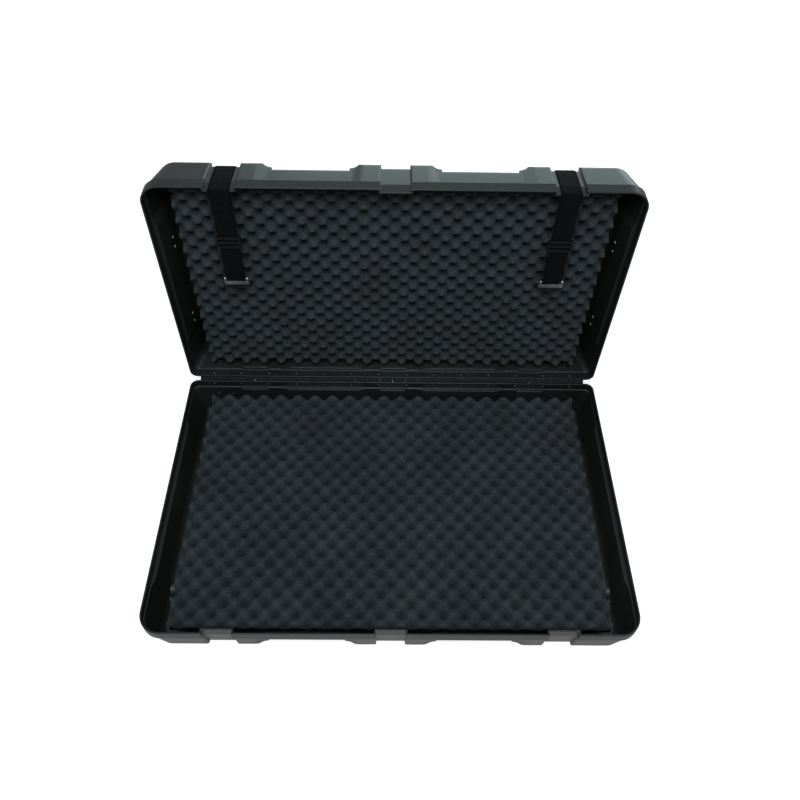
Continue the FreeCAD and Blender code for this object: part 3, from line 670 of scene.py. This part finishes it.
def straps():
    """Both straps with their seams."""
    group = stitch_group()
    for side in ("left", "right"):
        strap_webbing(side)
        points = axis_points(stitch_points(side))
        thread = run_group("strap_stitches_" + side, points, group, {"Length": STITCH_LENGTH})
        finish_piece(thread, "lid", "webbing")


# Hinge washers

def washer_points():
    """Middle of each gap between the ends of neighbouring hinge pins, with the hinges' axis."""
    boxes = [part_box("hinge_pin_" + name) for name in HINGE_ORDER]
    points = []
    for (low, end), (start, high) in zip(boxes, boxes[1:]):
        middle = (Vector(low) + Vector(end)) / 2
        middle.x = (end[0] + start[0]) / 2
        points.append((middle, Vector((1.0, 0.0, 0.0))))
    return points


def washer_group():
    """A thin disc on each point, across the point's axis."""
    group, tree, value = new_group("hinge_washers", ("Radius", "Thickness"))
    disc = tree.add("GeometryNodeMeshCylinder", {
        "Vertices": 24, "Radius": value["Radius"], "Depth": value["Thickness"]})
    spread_on_axis(tree, value["Geometry"], disc.outputs[0], MATERIALS["black_steel"], smooth=False)
    return group


def hinge_washers():
    """Washers that keep the four hinges apart on their line."""
    sizes = {"Radius": WASHER_RADIUS, "Thickness": WASHER_THICKNESS}
    washers = run_group("hinge_washers", axis_points(washer_points()), washer_group(), sizes)
    finish_piece(washers, "base", "black_steel")


# Rivets

def joined_faces(form):
    """Lists of faces that hang together, one for each rivet."""
    seen = set()
    groups = []
    for first in form.faces:
        if first in seen:
            continue
        seen.add(first)
        group = [first]
        for face in group:
            for edge in face.edges:
                for other in edge.link_faces:
                    if other not in seen:
                        seen.add(other)
                        group.append(other)
        groups.append(group)
    return groups


def rivet_axis(faces):
    """Direction that most of a rivet's surface faces, which is along its shank."""
    spread = numpy.zeros((3, 3))
    for face in faces:
        normal = numpy.array(face.normal)
        spread += face.calc_area() * numpy.outer(normal, normal)
    return Vector(numpy.linalg.eigh(spread)[1][:, 2])


def rivet_heads(node):
    """Place and outward direction of both heads of each rivet in a group."""
    form = bmesh.new()
    form.from_mesh(frame["nodes"][node].data)
    bmesh.ops.remove_doubles(form, verts=form.verts, dist=RIVET_MERGE)
    heads = []
    for faces in joined_faces(form):
        axis = rivet_axis(faces)
        points = [vert.co.copy() for face in faces for vert in face.verts]
        centre = sum(points, Vector()) / len(points)
        reach = max((point - centre).dot(axis) for point in points)
        for side in (-1, 1):
            heads.append((centre + axis * side * (reach - RIVET_RISE), axis * side))
    form.free()
    return heads


def rivet_group():
    """A flanged dome on each point, turned to the point's axis."""
    group, tree, value = new_group("rivet_domes", ("Head", "Rise"))
    dome = tree.add("GeometryNodeMeshUVSphere", {"Segments": 16, "Rings": 8, "Radius": 1.0})
    dome_radius = tree.math("MULTIPLY", value["Head"], RIVET_DOME)
    dome_size = tree.add("ShaderNodeCombineXYZ", {0: dome_radius, 1: dome_radius, 2: value["Rise"]})
    domed = tree.add("GeometryNodeTransform", {"Geometry": dome.outputs[0], "Scale": dome_size.outputs[0]})
    flange_depth = tree.math("MULTIPLY", value["Rise"], RIVET_FLANGE)
    flange = tree.add("GeometryNodeMeshCylinder", {
        "Vertices": 20, "Radius": value["Head"], "Depth": flange_depth})
    head = tree.add("GeometryNodeJoinGeometry")
    for shape in (domed, flange):
        tree.put(head, 0, shape.outputs[0])
    spread_on_axis(tree, value["Geometry"], head.outputs[0], MATERIALS["rivet"])
    return group


def rivets():
    """Heads of both groups: bare on the end walls, black elsewhere."""
    group = rivet_group()
    for shell in ("base", "lid"):
        node = shell + "_rivets"
        heads = rivet_heads(node)
        points = axis_points(heads)
        coated = points.attributes.new("coated", "FLOAT", "POINT")
        for item, (place, axis) in zip(coated.data, heads):
            on_end_wall = abs(axis.x) > 0.5
            item.value = 0.0 if on_end_wall else 1.0
        domes = run_group(shell + "_rivet_domes", points, group, {"Head": RIVET_HEAD, "Rise": RIVET_RISE})
        finish_piece(domes, shell, "rivet", node)


# Stage

def camera():
    """Camera at the photograph's place, with its pitch, yaw and roll."""
    level = Vector((-math.sin(CAMERA_YAW), math.cos(CAMERA_YAW), 0.0))
    right = Vector((math.cos(CAMERA_YAW), math.sin(CAMERA_YAW), 0.0))
    forward = level * math.cos(CAMERA_PITCH) - Vector((0.0, 0.0, math.sin(CAMERA_PITCH)))
    up = level * math.sin(CAMERA_PITCH) + Vector((0.0, 0.0, math.cos(CAMERA_PITCH)))
    rolled_right = right * math.cos(CAMERA_ROLL) + up * math.sin(CAMERA_ROLL)
    rolled_up = up * math.cos(CAMERA_ROLL) - right * math.sin(CAMERA_ROLL)
    lens = bpy.data.cameras.new("camera")
    lens.sensor_width = SENSOR_WIDTH
    lens.lens = FOCAL_LENGTH / IMAGE_SIZE * SENSOR_WIDTH
    lens.shift_x = (IMAGE_SIZE / 2 - CENTRE_COLUMN) / IMAGE_SIZE
    lens.shift_y = (CENTRE_ROW - IMAGE_SIZE / 2) / IMAGE_SIZE
    eye = bpy.data.objects.new("camera", lens)
    scene.collection.objects.link(eye)
    turn = Matrix((rolled_right, rolled_up, -forward)).transposed().to_4x4()
    eye.matrix_world = Matrix.Translation(CAMERA_PLACE) @ turn
    scene.camera = eye


def background_share(tree, camera_share, mirror_share):
    """Strength of the white background for the camera and for mirrored or refracted rays, else 0."""
    path = tree.add("ShaderNodeLightPath")
    mirrored = tree.math("MAXIMUM", path.outputs["Is Glossy Ray"], path.outputs["Is Transmission Ray"])
    seen = tree.math("MULTIPLY", path.outputs["Is Camera Ray"], camera_share)
    return tree.math("MAXIMUM", seen, tree.math("MULTIPLY", mirrored, mirror_share))


def floor():
    """Wide pale floor that keeps the case's shadow."""
    corners = [(x * FLOOR_REACH, y * FLOOR_REACH, 0.0) for x, y in ((-1, -1), (1, -1), (1, 1), (-1, 1))]
    mesh = bpy.data.meshes.new("floor")
    mesh.from_pydata(corners, [], [(0, 1, 2, 3)])
    plane = link_mesh("floor", mesh)
    material = bpy.data.materials.new("pale_floor")
    material.use_nodes = True
    material.node_tree.nodes.clear()
    tree = Tree(material.node_tree)
    matt = tree.add("ShaderNodeBsdfDiffuse", {"Color": grey(FLOOR_GREY)})
    strength = background_share(tree, *FLOOR_GLOW)
    glow = tree.add("ShaderNodeEmission", {"Color": grey(1.0), "Strength": strength})
    both = tree.add("ShaderNodeAddShader", {0: matt.outputs[0], 1: glow.outputs[0]})
    tree.add("ShaderNodeOutputMaterial", {"Surface": both.outputs[0]})
    mesh.materials.append(material)


def world():
    """White sky for the camera and in reflections, and a plain fill light on everything."""
    sky = bpy.data.worlds.new("studio")
    scene.world = sky
    sky.use_nodes = True
    sky.node_tree.nodes.clear()
    tree = Tree(sky.node_tree)
    strength = tree.math("MAXIMUM", background_share(tree, *SKY_GLOW), SKY_LIGHT)
    back = tree.add("ShaderNodeBackground", {"Color": grey(1.0), "Strength": strength})
    tree.add("ShaderNodeOutputWorld", {"Surface": back.outputs[0]})


def softbox(name, place, aim, size, power, colour=(1.0, 1.0, 1.0)):
    """Rectangular lamp at a place, turned to its aim."""
    lamp = bpy.data.lights.new(name, "AREA")
    lamp.shape = "RECTANGLE"
    lamp.size, lamp.size_y = size
    lamp.energy = power
    lamp.color = colour
    box = bpy.data.objects.new(name, lamp)
    scene.collection.objects.link(box)
    box.location = place
    box.rotation_euler = (Vector(aim) - Vector(place)).to_track_quat("-Z", "Y").to_euler()


paint_frame()
foam_sheets()
foam_pads()
straps()
hinge_washers()
rivets()
camera()
floor()
world()
softbox("overhead", **OVERHEAD)
softbox("back_panel", **BACK_PANEL)
